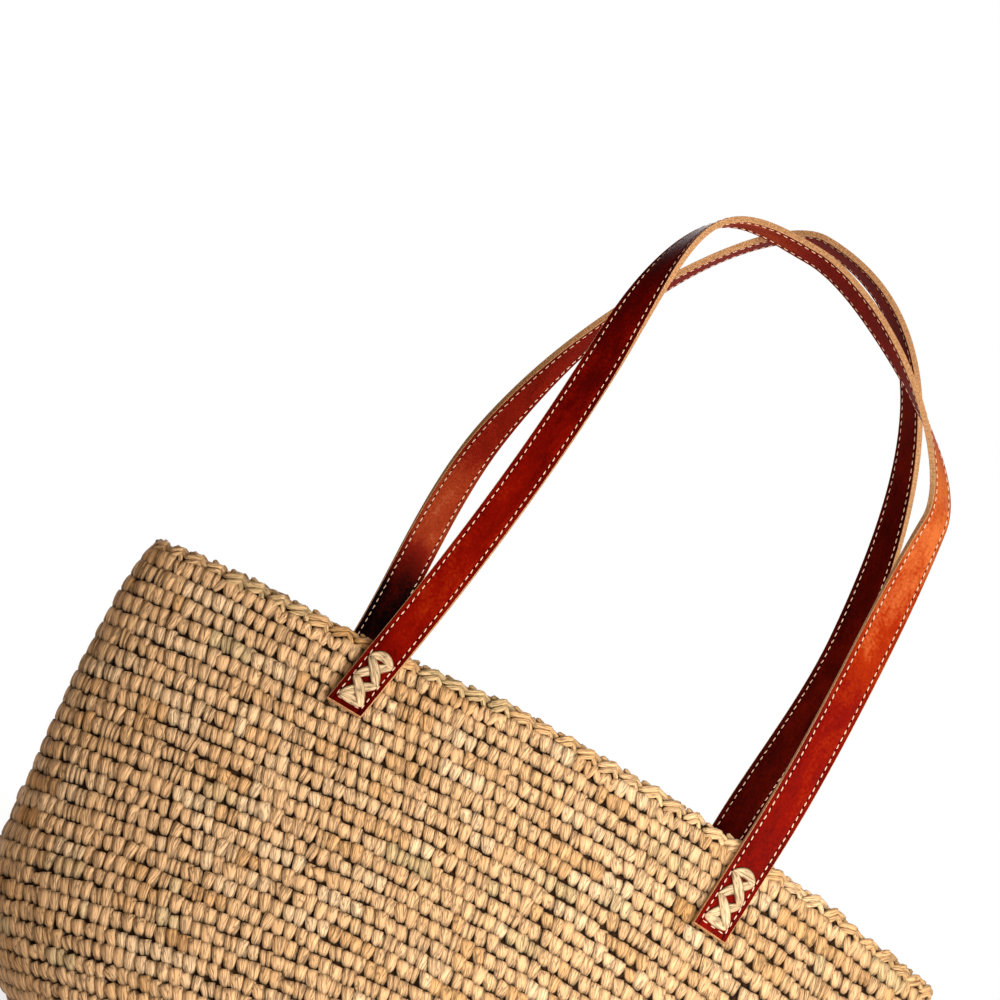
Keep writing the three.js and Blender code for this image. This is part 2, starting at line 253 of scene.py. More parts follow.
SHARES = np.linspace(0, 1, 801)
SIDE_ROUND_WIDTH = MOUTH_HALF_WIDTH - FLANK_FLARE - WALL_FOOT
FLANK_FOOT = np.array([WALL_FOOT + SIDE_ROUND_WIDTH, SIDE_ROUND_HEIGHT])
FLANK_FULL = np.array([MOUTH_HALF_WIDTH + FLANK_SWELL, SIDE_HEIGHT - FLANK_FULL_BELOW_RIM])
FLANK_HEAD = np.array([MOUTH_HALF_WIDTH, SIDE_HEIGHT])
SIDE_PROFILE = by_length(np.concatenate([
    arc((WALL_FOOT, SIDE_ROUND_HEIGHT), (SIDE_ROUND_WIDTH, SIDE_ROUND_HEIGHT), -90, 0),
    bezier([FLANK_FOOT, (FLANK_FOOT + 2 * FLANK_FULL) / 3,
            (FLANK_HEAD + 2 * FLANK_FULL) / 3, FLANK_HEAD]),
]))
FACE_FOOT = np.array([WALL_FOOT + FRONT_ROUND, FRONT_ROUND])
FACE_HEAD = np.array([MOUTH_HALF_DEPTH + RIM_SLOPE * FLAT_BELOW_RIM, FRONT_HEIGHT - FLAT_BELOW_RIM])
FRONT_PROFILE = by_length(np.concatenate([
    arc((WALL_FOOT, FRONT_ROUND), (FRONT_ROUND, FRONT_ROUND), -90, 0),
    bezier([FACE_FOOT, FACE_FOOT + (0, FRONT_SWELL),
            FACE_HEAD + (RIM_SLOPE * FRONT_SWELL, -FRONT_SWELL), FACE_HEAD]),
    [(MOUTH_HALF_DEPTH, FRONT_HEIGHT)],
]))


def wall_point(level, angle):
    """Point of the wall's outer face, by the share of the way up and the angle round from +X."""
    side_x, side_z = (np.interp(level, SHARES, c) for c in SIDE_PROFILE.T)
    front_y, front_z = (np.interp(level, SHARES, c) for c in FRONT_PROFILE.T)
    c, s = np.cos(angle), np.sin(angle)
    reach = (MOUTH_HALF_WIDTH * c - RIM_DIP_AT) / RIM_DIP_REACH
    dip = RIM_DIP * level ** 2 * np.exp(-reach ** 2)
    return np.stack([side_x * c, front_y * s, front_z + (side_z - front_z) * c * c - dip], -1)


def wall_frame(level, angle):
    """Point of the wall with the directions right along the round, up the wall and out of it."""
    level, angle = np.broadcast_arrays(np.asarray(level, float), np.asarray(angle, float))
    step = 1e-3
    above, below = np.minimum(level + step, 1), np.maximum(level - step, 0)
    up = unit(wall_point(above, angle) - wall_point(below, angle))
    right = unit(wall_point(level, angle + step) - wall_point(level, angle - step))
    out = unit(np.cross(right, up))
    return wall_point(level, angle), np.cross(up, out), up, out


def round_angles(level, pitch, shift):
    """Angles of the stitches of one round at equal steps along it, and the step."""
    angles = np.linspace(0, 2 * np.pi, 721)
    ring = wall_point(np.full(angles.shape, level), angles)
    run = np.concatenate([[0], np.cumsum(np.linalg.norm(np.diff(ring, axis=0), axis=1))])
    count = max(3, round(run[-1] / pitch))
    at = (np.arange(count) + shift % 1) / count * run[-1]
    return np.interp(at, run, angles), run[-1] / count


# Materials

def linear(hex_colour):
    """An sRGB hex colour as linear RGBA."""
    channels = [int(hex_colour[i:i + 2], 16) / 255 for i in (1, 3, 5)]
    return [c / 12.92 if c <= 0.04045 else ((c + 0.055) / 1.055) ** 2.4 for c in channels] + [1]


def add_node(tree, kind, settings=None, **inputs):
    """A node with its settings, and its inputs by name or number (i0, i1) as values or as links."""
    made = tree.nodes.new(kind)
    for key, value in (settings or {}).items():
        setattr(made, key, value)
    for key, value in inputs.items():
        numbered = key[0] == "i" and key[1:].isdigit()
        socket = made.inputs[int(key[1:]) if numbered else key.replace("_", " ")]
        if isinstance(value, bpy.types.NodeSocket):
            tree.links.new(value, socket)
        else:
            socket.default_value = value
    return made


def new_material(name):
    look = bpy.data.materials.new(name)
    look.use_nodes = True
    tree = look.node_tree
    return look, tree, tree.nodes["Principled BSDF"]


def set_ramp(made, *stops):
    ramp = made.color_ramp
    while len(ramp.elements) < len(stops):
        ramp.elements.new(0.5)
    for element, (at, colour) in zip(ramp.elements, stops):
        element.position = at
        element.color = linear(colour)


def raffia_material(name, dark, main, pale, deep_shade_from, deep_shade_to):
    """Natural raffia: dry folded palm strips with fine lengthwise fibres, satin on top, with painted shade
    in the folds and deep in a stitch."""
    look, tree, shader = new_material(name)
    strand = add_node(tree, "ShaderNodeAttribute", dict(attribute_name="strand"))
    tint = add_node(tree, "ShaderNodeAttribute", dict(attribute_name="tint"))
    axes = add_node(tree, "ShaderNodeSeparateXYZ", Vector=strand.outputs["Vector"])
    place = add_node(tree, "ShaderNodeCombineXYZ", X=axes.outputs["X"], Y=axes.outputs["Y"])
    # Fibres about 0.6 mm apart that run on for some 6 mm, and creases about 2 mm apart with painted shade
    # in them
    fibres = add_node(tree, "ShaderNodeMapping", Vector=place.outputs[0], Scale=(1.7, 0.17, 1))
    streak = add_node(tree, "ShaderNodeTexNoise",
                      Vector=fibres.outputs[0], Scale=1.0, Detail=3.0, Roughness=0.6)
    folded = add_node(tree, "ShaderNodeMapping", Vector=place.outputs[0], Scale=(0.6, 0.07, 1))
    fold = add_node(tree, "ShaderNodeTexNoise", Vector=folded.outputs[0], Scale=1.0, Detail=1.0)
    # A few strands in a hundred are greener or browner than the rest
    hue = add_node(tree, "ShaderNodeValToRGB", Fac=tint.outputs["Fac"])
    set_ramp(hue, (0, dark), (0.25, main), (0.7, main), (0.95, pale),
             (0.972, "#D2B482"), (0.988, main), (0.998, "#D39C5E"))
    light = add_node(tree, "ShaderNodeMapRange", Value=streak.outputs["Fac"],
                     From_Min=0.3, From_Max=0.7, To_Min=0.56, To_Max=1.18)
    beside = add_node(tree, "ShaderNodeMath", dict(operation="SUBTRACT"), i0=fold.outputs["Fac"], i1=0.5)
    beside = add_node(tree, "ShaderNodeMath", dict(operation="ABSOLUTE"), i0=beside.outputs[0])
    # Painted shade along the creases, which also sink them in the bump
    crease = add_node(tree, "ShaderNodeMapRange", Value=beside.outputs[0],
                      From_Min=0.0, From_Max=0.05, To_Min=0.42, To_Max=1.03)
    # Painted shade, darker the deeper a corner lies in the stitch
    depth = add_node(tree, "ShaderNodeMapRange", Value=axes.outputs["Z"],
                     From_Min=deep_shade_from, From_Max=deep_shade_to, To_Min=0.06, To_Max=1.0)
    shade = add_node(tree, "ShaderNodeMath", dict(operation="MULTIPLY"),
                     i0=light.outputs[0], i1=depth.outputs[0])
    shade = add_node(tree, "ShaderNodeMath", dict(operation="MULTIPLY"),
                     i0=shade.outputs[0], i1=crease.outputs[0])
    colour = add_node(tree, "ShaderNodeVectorMath", dict(operation="SCALE"),
                      i0=hue.outputs["Color"], Scale=shade.outputs[0])
    tree.links.new(colour.outputs[0], shader.inputs["Base Color"])
    relief = add_node(tree, "ShaderNodeMath", dict(operation="MULTIPLY_ADD"),
                      i0=crease.outputs[0], i1=0.8, i2=streak.outputs["Fac"])
    bump = add_node(tree, "ShaderNodeBump", Strength=1.0, Distance=0.5 * MM, Height=relief.outputs[0])
    tree.links.new(bump.outputs[0], shader.inputs["Normal"])
    shader.inputs["Roughness"].default_value = 0.5
    shader.inputs["Specular IOR Level"].default_value = 0.12
    return look


def core_material():
    """The inside of the crochet, seen only through the gaps: raffia in deep shade, brown and matt."""
    look, tree, shader = new_material("shaded_raffia_core")
    place = add_node(tree, "ShaderNodeTexCoord")
    fleck = add_node(tree, "ShaderNodeTexNoise",
                     Vector=place.outputs["Object"], Scale=1 / (2.5 * MM), Detail=2.0)
    hue = add_node(tree, "ShaderNodeValToRGB", Fac=fleck.outputs["Fac"])
    set_ramp(hue, (0.35, "#160B04"), (0.7, "#3E2510"))
    tree.links.new(hue.outputs["Color"], shader.inputs["Base Color"])
    shader.inputs["Roughness"].default_value = 0.9
    shader.inputs["Specular IOR Level"].default_value = 0.1
    return look


def leather_material(name, roughness, *tones):
    """Vegetable-tanned strap leather, dyed red-brown by hand: cloudy patches, fine grain, nearly matt, and
    painted light and shade along the strap.
    """
    look, tree, shader = new_material(name)
    strap = add_node(tree, "ShaderNodeAttribute", dict(attribute_name="strap"))
    dye_and_painted_light = add_node(tree, "ShaderNodeAttribute", dict(attribute_name="dye_and_painted_light"))
    axes = add_node(tree, "ShaderNodeSeparateXYZ", Vector=strap.outputs["Vector"])
    # Cloudy patches about 10 mm across, drawn out along the strap, and small mottles of 2 mm
    cloudy = add_node(tree, "ShaderNodeMapping", Vector=strap.outputs["Vector"], Scale=(0.11, 0.05, 1))
    cloud = add_node(tree, "ShaderNodeTexNoise",
                     Vector=cloudy.outputs[0], Scale=1.0, Detail=4.0, Roughness=0.62)
    mottle = add_node(tree, "ShaderNodeTexNoise", Vector=strap.outputs["Vector"], Scale=0.6, Detail=3.0)
    # The value along the strap holds the dye together with painted shade and painted highlight
    mixed = add_node(tree, "ShaderNodeMath", dict(operation="MULTIPLY_ADD"),
                     i0=mottle.outputs["Fac"], i1=0.36, i2=dye_and_painted_light.outputs["Fac"])
    mixed = add_node(tree, "ShaderNodeMath", dict(operation="MULTIPLY_ADD"),
                     i0=cloud.outputs["Fac"], i1=0.6, i2=mixed.outputs[0])
    centred = add_node(tree, "ShaderNodeMath", dict(operation="SUBTRACT"), i0=mixed.outputs[0], i1=0.48)
    hue = add_node(tree, "ShaderNodeValToRGB", Fac=centred.outputs[0])
    set_ramp(hue, *tones)
    # Darker within 2 mm of the cut edges, and painted shade along the seam line, where the needle holes and
    # groove lie in shade
    reach = add_node(tree, "ShaderNodeMath", dict(operation="ABSOLUTE"), i0=axes.outputs["X"])
    rubbed = add_node(tree, "ShaderNodeMapRange", Value=reach.outputs[0],
                      From_Min=7.8, From_Max=9.9, To_Min=1.0, To_Max=0.6)
    seam = add_node(tree, "ShaderNodeMath", dict(operation="SUBTRACT"),
                    i0=reach.outputs[0], i1=SEAM_LINE / MM)
    seam_off = add_node(tree, "ShaderNodeMath", dict(operation="ABSOLUTE"), i0=seam.outputs[0])
    needle_hole_shade = add_node(tree, "ShaderNodeMapRange", Value=seam_off.outputs[0],
                      From_Min=0.2, From_Max=0.5, To_Min=0.15, To_Max=1.0)
    shade = add_node(tree, "ShaderNodeMath", dict(operation="MULTIPLY"),
                     i0=rubbed.outputs[0], i1=needle_hole_shade.outputs[0])
    colour = add_node(tree, "ShaderNodeVectorMath", dict(operation="SCALE"),
                      i0=hue.outputs["Color"], Scale=shade.outputs[0])
    tree.links.new(colour.outputs[0], shader.inputs["Base Color"])
    # Grain cells about 0.8 mm across
    grain = add_node(tree, "ShaderNodeTexVoronoi", Vector=strap.outputs["Vector"], Scale=1.25)
    rough = add_node(tree, "ShaderNodeMapRange", Value=cloud.outputs["Fac"],
                     From_Min=0.3, From_Max=0.7, To_Min=roughness - 0.06, To_Max=roughness + 0.08)
    tree.links.new(rough.outputs[0], shader.inputs["Roughness"])
    bump = add_node(tree, "ShaderNodeBump",
                    Strength=0.12, Distance=0.2 * MM, Height=grain.outputs["Distance"])
    tree.links.new(bump.outputs[0], shader.inputs["Normal"])
    shader.inputs["Specular IOR Level"].default_value = 0.01
    return look


def cut_edge_material():
    """Raw cut leather edge: pale tan fibres, matt, a little darker in patches."""
    look, tree, shader = new_material("raw_leather_edge")
    strap = add_node(tree, "ShaderNodeAttribute", dict(attribute_name="strap"))
    # Fibre bundles about 1 mm across
    fibre = add_node(tree, "ShaderNodeTexNoise", Vector=strap.outputs["Vector"], Scale=0.9, Detail=4.0)
    hue = add_node(tree, "ShaderNodeValToRGB", Fac=fibre.outputs["Fac"])
    set_ramp(hue, (0.3, "#966640"), (0.7, "#D09E6C"))
    tree.links.new(hue.outputs["Color"], shader.inputs["Base Color"])
    shader.inputs["Roughness"].default_value = 0.8
    shader.inputs["Specular IOR Level"].default_value = 0.2
    return look


def thread_material():
    """Waxed cotton sewing thread: pinkish cream, twisted, with a soft sheen."""
    look, tree, shader = new_material("waxed_cotton_thread")
    strap = add_node(tree, "ShaderNodeAttribute", dict(attribute_name="strap"))
    # Two plies about 0.5 mm apart, laid across the thread
    ply = add_node(tree, "ShaderNodeTexWave", dict(bands_direction="DIAGONAL"),
                   Vector=strap.outputs["Vector"], Scale=0.7)
    hue = add_node(tree, "ShaderNodeValToRGB", Fac=ply.outputs["Fac"])
    set_ramp(hue, (0.0, "#CF9F7E"), (0.6, "#EBCBAC"))
    tree.links.new(hue.outputs["Color"], shader.inputs["Base Color"])
    shader.inputs["Roughness"].default_value = 0.6
    return look


# Stitch shapes, in millimetres: x right, y up the wall, z out of it, with z = 0 on the wall's face

class Bundle:
    """Strand lobes that make one stitch, with each corner's place along and around its strand."""

    def __init__(self):
        self.bm = bmesh.new()
        self.strand = {}

    def lobe(self, segments, rings, size, at, lean, slant=0.0, taper=0.0, flare=0.0,
             tuck=(0.0, 0.0), blunt=(2.6, 2.6), square=0.8):
        """A plump strand loop that leans or slants to the left, narrows below and flares at its upper
        right, with its lower and upper ends as far tucked in and as blunt as given."""
        bm = self.bm
        made = bmesh.ops.create_uvsphere(bm, u_segments=segments, v_segments=rings, radius=1)["verts"]
        bmesh.ops.rotate(bm, verts=made, cent=(0, 0, 0), matrix=rotation("X", -90))
        girth = (size[0] + size[2]) / 4
        for v in made:
            x, y, z = v.co
            round_about = math.atan2(x, z)
            power = blunt[y > 0]
            full = max(1 - abs(y) ** power, 0) ** (1 / power)
            side = full * math.copysign(abs(math.sin(round_about)) ** square, x)
            face = full * math.copysign(abs(math.cos(round_about)) ** square, z)
            lower, upper = ((1 - y) / 2) ** 2, ((1 + y) / 2) ** 2
            wide = 1 + taper * y + (flare * upper if x > 0 else 0)
            v.co = (side * wide * size[0] / 2 - math.tan(math.radians(slant)) * y * size[1] / 2,
                    y * size[1] / 2,
                    face * size[2] / 2 - tuck[0] * lower - tuck[1] * upper)
            # The third coordinate is the depth out of the wall's face, by which the raffia is given painted
            # shade
            self.strand[v] = (round_about * girth + 7 * at[0], y * size[1] / 2, v.co.z + at[2])
        bmesh.ops.rotate(bm, verts=made, cent=(0, 0, 0), matrix=rotation("Z", lean))
        bmesh.ops.translate(bm, verts=made, vec=at)

    def finish(self, name):
        strand = np.array([self.strand[v] for v in self.bm.verts])
        return to_mesh(self.bm, name), strand


def outer_stitches():
    """Stitches of the outside: one broad leg, a leg that flares to the right, and a leg split in two."""
    full = dict(blunt=(2.8, 6.0), tuck=(1.0, 0.9))
    thin = dict(blunt=(2.8, 4.0), tuck=(0.8, 1.0))
    broad = Bundle()
    broad.lobe(8, 6, (6.9, 9.8, 5.0), (-0.4, 0.2, -1.7), 5,
               slant=10, taper=0.2, flare=0.2, square=0.55, **full)
    broad.lobe(6, 4, (2.4, 6.4, 3.2), (2.6, 1.2, -1.9), -12, taper=0.2, **thin)
    flared = Bundle()
    flared.lobe(8, 6, (5.9, 9.8, 5.0), (-1.0, 0.2, -1.6), 6,
                slant=10, taper=0.22, flare=0.4, square=0.6, **full)
    flared.lobe(6, 5, (3.2, 8.6, 4.2), (1.9, 0.2, -1.8), 4, slant=8, taper=0.15, flare=0.5, **thin)
    split = Bundle()
    split.lobe(6, 5, (3.9, 9.7, 4.8), (-1.9, 0.2, -1.6), 6, slant=9, taper=0.15, square=0.7, **full)
    split.lobe(6, 5, (3.7, 9.5, 4.9), (1.2, 0.3, -1.6), 3,
               slant=8, taper=0.2, flare=0.5, square=0.7, **full)
    made = [broad.finish("broad_stitch"), flared.finish("flared_stitch"), split.finish("split_stitch")]
    return made[:2] * 3 + made


def forked_stitches():
    """Stitch of the last round: two legs that open upwards."""
    leg = dict(tuck=(0.4, 0.8), blunt=(3.0, 3.6), square=0.7)
    fork = Bundle()
    fork.lobe(6, 5, (4.2, 9.2, 4.8), (-1.7, 0.2, -1.5), 28, taper=0.1, **leg)
    fork.lobe(6, 5, (4.4, 9.2, 4.6), (1.5, 0.2, -1.2), -8, taper=0.2, **leg)
    return [fork.finish("forked_stitch")]


def inner_stitches():
    stitch = Bundle()
    stitch.lobe(6, 5, (6.6, 10.4, 4.0), (0, 0, -1.9), -8, taper=0.1, tuck=(0.0, 0.8))
    return [stitch.finish("inner_stitch")]


def gather(templates, places, name, look):
    """One mesh of templates repeated at places, with each copy's strand coordinates and tint."""
    bm = bmesh.new()
    shapes = [read_points(mesh) for mesh, _ in templates]
    picks = rng.integers(len(templates), size=len(places))
    for pick, matrix in zip(picks, places):
        mesh = templates[pick][0]
        mesh.transform(matrix)
        bm.from_mesh(mesh)
        write_points(mesh, shapes[pick])
    mesh = to_mesh(bm, name)
    # One strand makes a few stitches in a row, so they share its tint but not its fibres
    count = len(places)
    tints = np.repeat(rng.random(count), rng.integers(1, 5, count))[:count]
    fibres = rng.random((count, 3)) * (300, 300, 0)
    strand = np.concatenate([templates[pick][1] + offset for pick, offset in zip(picks, fibres)])
    add_attribute(mesh, "strand", "FLOAT_VECTOR", strand)
    add_attribute(mesh, "tint", "FLOAT", np.repeat(tints, [len(shapes[pick]) for pick in picks]))
    return to_object(mesh, name, look)


def stitch_matrix(point, right, up, out, scale):
    """Placing of a stitch on the wall with a little unevenness of the hand."""
    turn = math.radians(rng.normal(0, UNEVEN_TURN))
    nudge = rng.normal(0, UNEVEN_PLACE, 3)
    size = rng.normal(1, UNEVEN_SIZE, 3)
    c, s = math.cos(turn), math.sin(turn)
    x = (right * c + up * s) * MM * scale[0] * size[0]
    y = (up * c - right * s) * MM * scale[1] * size[1]
    z = out * MM * scale[2] * size[2]
    at = point + right * nudge[0] + up * nudge[1] + out * nudge[2]
    return to_matrix(x, y, z, at)


def pressed(points, seats):
    """How far the laced tabs press down the stitches at points of the wall."""
    depth = np.zeros(len(points))
    for seat in seats:
        own = points * np.array([-1, -1, 1]) if seat.turned else points
        local = own - seat.point
        aside = np.abs(local @ seat.across) - STRAP_HALF
        below = -seat.drop - local @ seat.along
        behind = np.abs(local @ seat.out) - MOUTH_HALF_DEPTH / 2
        apart = np.maximum(np.maximum(aside, below), behind)
        depth = np.maximum(depth, TAB_PRESS * (1 - smoothstep(*TAB_PRESS_REACH, apart)))
    return depth


def wall_places(rounds, pitch, depth, facing, seats=()):
    """Places of the stitches of some rounds of the wall, at a depth and facing out (1) or in (-1). Where
    tabs or the floor press on a stitch it is flattened towards its back."""
    places = []
    for r in rounds:
        level = (r + 0.5) / WALL_ROUNDS
        angles, step = round_angles(level, pitch, r * ROUND_SHIFT)
        point, right, up, out = wall_frame(level, angles)
        half = 0.5 / WALL_ROUNDS
        rise = wall_point(level + half, angles) - wall_point(level - half, angles)
        tall = np.linalg.norm(rise, axis=1)
        press = pressed(point, seats)
        if facing > 0:
            press = press + FOOT_SINK * max(1 - r / FOOT_ROUNDS, 0)
        flat = 1 - press / STITCH_THICKNESS
        sunk = depth + STITCH_BACK * (1 - flat)
        for p, x, y, z, h, d, f in zip(point, right, up, out, tall, sunk, flat):
            scale = (step / STITCH_WIDTH, h / STITCH_HEIGHT, f)
            places.append(stitch_matrix(p - z * d, x * facing, y, z * facing, scale))
    return places


def base_places(height, facing, press=0.0):
    """Places of the stitches of the base's rounds, seen from below (-1) or from above (1)."""
    flat = 1 - press / STITCH_THICKNESS
    height -= facing * STITCH_BACK * (1 - flat)
    places = []
    for ring in range(int(BASE_RADIUS / BASE_ROUND)):
        radius = (ring + 0.5) * BASE_ROUND
        count = max(5, round(2 * math.pi * radius / STITCH_WIDTH))
        for k in range(count):
            angle = 2 * math.pi * (k + ring * ROUND_SHIFT) / count
            up = np.array([math.cos(angle), math.sin(angle), 0.0])
            out = np.array([0.0, 0.0, facing])
            point = up * radius + (0, 0, height)
            width = 2 * math.pi * radius / count / STITCH_WIDTH
            scale = (width, BASE_ROUND / STITCH_HEIGHT, flat)
            places.append(stitch_matrix(point, np.cross(up, out), up, out, scale))
    return places


def wall_core(look):
    """Dark closed shell between the outer and the inner stitches that runs on up into the edging."""
    levels, turns = 40, 160
    bm = bmesh.new()
    bmesh.ops.create_grid(bm, x_segments=turns, y_segments=levels, size=1)
    flat = np.array([v.co for v in bm.verts])
    share = (flat[:, 1] + 1) / 2 * (1 + 1 / levels)
    angle = (flat[:, 0] + 1) * np.pi
    point, _, up, out = wall_frame(np.minimum(share, 1), angle)
    rise = np.maximum(share - 1, 0) * levels * CORE_RISE
    for v, co in zip(bm.verts, point - out * CORE_DEPTH + up * rise[:, None]):
        v.co = co
    bmesh.ops.remove_doubles(bm, verts=bm.verts, dist=0.01 * MM)
    bmesh.ops.recalc_face_normals(bm, faces=bm.faces)
    bmesh.ops.solidify(bm, geom=bm.faces, thickness=CORE_THICKNESS)
    return to_object(to_mesh(bm, "wall_core"), "wall_core", look)


def base_core(look):
    bm = bmesh.new()
    bmesh.ops.create_cone(bm, cap_ends=True, segments=96,
                          radius1=BASE_RADIUS, radius2=BASE_RADIUS, depth=CORE_THICKNESS)
    bmesh.ops.translate(bm, verts=bm.verts, vec=(0, 0, FABRIC / 2))
    return to_object(to_mesh(bm, "base_core"), "base_core", look)


def make_body(seats):
    # The last two numbers are the depths in millimetres between which the stitches get painted shade,
    # darkest at the first
    raffia = raffia_material("crocheted_raffia", "#D8A66E", "#E6B885", "#F0CA9C", -1.75, 0.25)
    inside = raffia_material("crocheted_raffia_inside", "#A87C48", "#D2A872", "#DFBA8A", -3.0, -0.8)
    core = core_material()
    wall = []
    cuts = np.linspace(0, WALL_ROUNDS - 1, WALL_BANDS + 1).astype(int)
    stitches = outer_stitches()
    for i in range(WALL_BANDS):
        places = wall_places(range(cuts[i], cuts[i + 1]), STITCH_WIDTH, 0, 1, seats)
        wall.append(gather(stitches, places, f"wall_rounds_{i + 1}", raffia))
    places = wall_places([WALL_ROUNDS - 1], STITCH_WIDTH, 0, 1, seats)
    wall.append(gather(forked_stitches() + stitches[:2], places, "wall_top_round", raffia))
    base = [gather(stitches, base_places(0, -1, FOOT_SINK), "base_rounds", raffia)]
    stitches = inner_stitches()
    cuts = np.linspace(0, WALL_ROUNDS, INNER_BANDS + 1).astype(int)
    for i in range(INNER_BANDS):
        places = wall_places(range(cuts[i], cuts[i + 1]), STITCH_WIDTH, FABRIC, -1)
        wall.append(gather(stitches, places, f"wall_inside_{i + 1}", inside))
    base.append(gather(stitches, base_places(FABRIC, 1), "base_inside", inside))
    wall.append(wall_core(core))
    base.append(base_core(core))
    for piece in wall + base:
        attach(piece, "bag")
    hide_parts("side_wall")
    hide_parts("base_disc")


def edging_bundle():
    """One scallop of the corded edging: strands that climb to its tip, strands that drop from it."""
    bundle = Bundle()
    bundle.lobe(8, 6, (3.9, 11.4, 4.2), (-1.6, 0.9, 0.9), -64, taper=0.1)
    bundle.lobe(8, 6, (3.3, 9.4, 3.8), (4.8, 1.5, 0.2), 70, taper=-0.1)
    bundle.lobe(6, 5, (3.2, 10.4, 3.2), (0.0, -1.5, 1.9), -60, taper=0.1)
    bundle.lobe(6, 5, (2.9, 7.6, 2.9), (4.9, -1.5, 1.6), 40, taper=0.1)
    bundle.lobe(8, 6, (3.9, 14.0, 3.6), (0.4, 0.6, -1.4), 66, taper=0.1)
    mesh, strand = bundle.finish("edging_bundle")
    # Strands get painted shade by how far they stand off the edging's middle line, darker the nearer they
    # lie to it
    strand[:, 2] = np.hypot(*read_points(mesh)[:, 1:].T)
    return mesh, strand


def make_edging():
    look = raffia_material("corded_raffia", "#CE9C62", "#E0B27C", "#ECC492", 0.4, 2.8)
    angles, step = round_angles(1.0, EDGING_PITCH, 0)
    point, right, up, out = wall_frame(1.0, angles)
    places = []
    for p, x, y, z in zip(point, right, up, out):
        centre = p - z * FABRIC / 2 + y * EDGING_RISE
        places.append(stitch_matrix(centre, x, y, z, (step / EDGING_PITCH, 1, 1)))
    edging = gather([edging_bundle()], places, "rim_cord", look)
    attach(edging, "bag")
    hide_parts("rim_edging")


# Handles

class TabSeat:
    """Where a tab lies on the wall: across it, along it and out of the wall, and its lacing holes."""

    def __init__(self, side, turned):
        turn = math.pi if turned else 0
        point, _, _, out = wall_frame(1.0, turn - math.acos(side["foot"] * MM / MOUTH_HALF_WIDTH))
        own = np.array([-1, -1, 1]) if turned else np.ones(3)
        self.point, self.out = point * own, out * own
        upright = unit(np.array([0, self.out[2], -self.out[1]]))
        lean = math.radians(side["lean"])
        self.along = upright * math.cos(lean) + np.cross(upright, self.out) * math.sin(lean)
        self.across = np.cross(self.along, self.out)
        self.drop = side["drop"] * MM
        self.skew = math.tan(math.radians(side["skew"]))
        self.curl = side["curl"] * MM
        self.foot = self.at(0, TAB_RISE, STRAP_MIDDLE)
        self.turned = turned
        rows = [-self.drop + (side["hem"] + k * side["pitch"]) * MM for k in (2, 1, 0)]
        self.left = [(-HOLE_ACROSS, y - self.skew * HOLE_ACROSS) for y in rows]
        self.right = [(HOLE_ACROSS, y + self.skew * HOLE_ACROSS) for y in rows]

    def at(self, across, along, out):
        return self.point + self.across * across + self.along * along + self.out * out

    def matrix(self):
        matrix = to_matrix(self.across, self.along, self.out, self.point)
        return Matrix.Rotation(math.pi, 4, "Z") @ matrix if self.turned else matrix


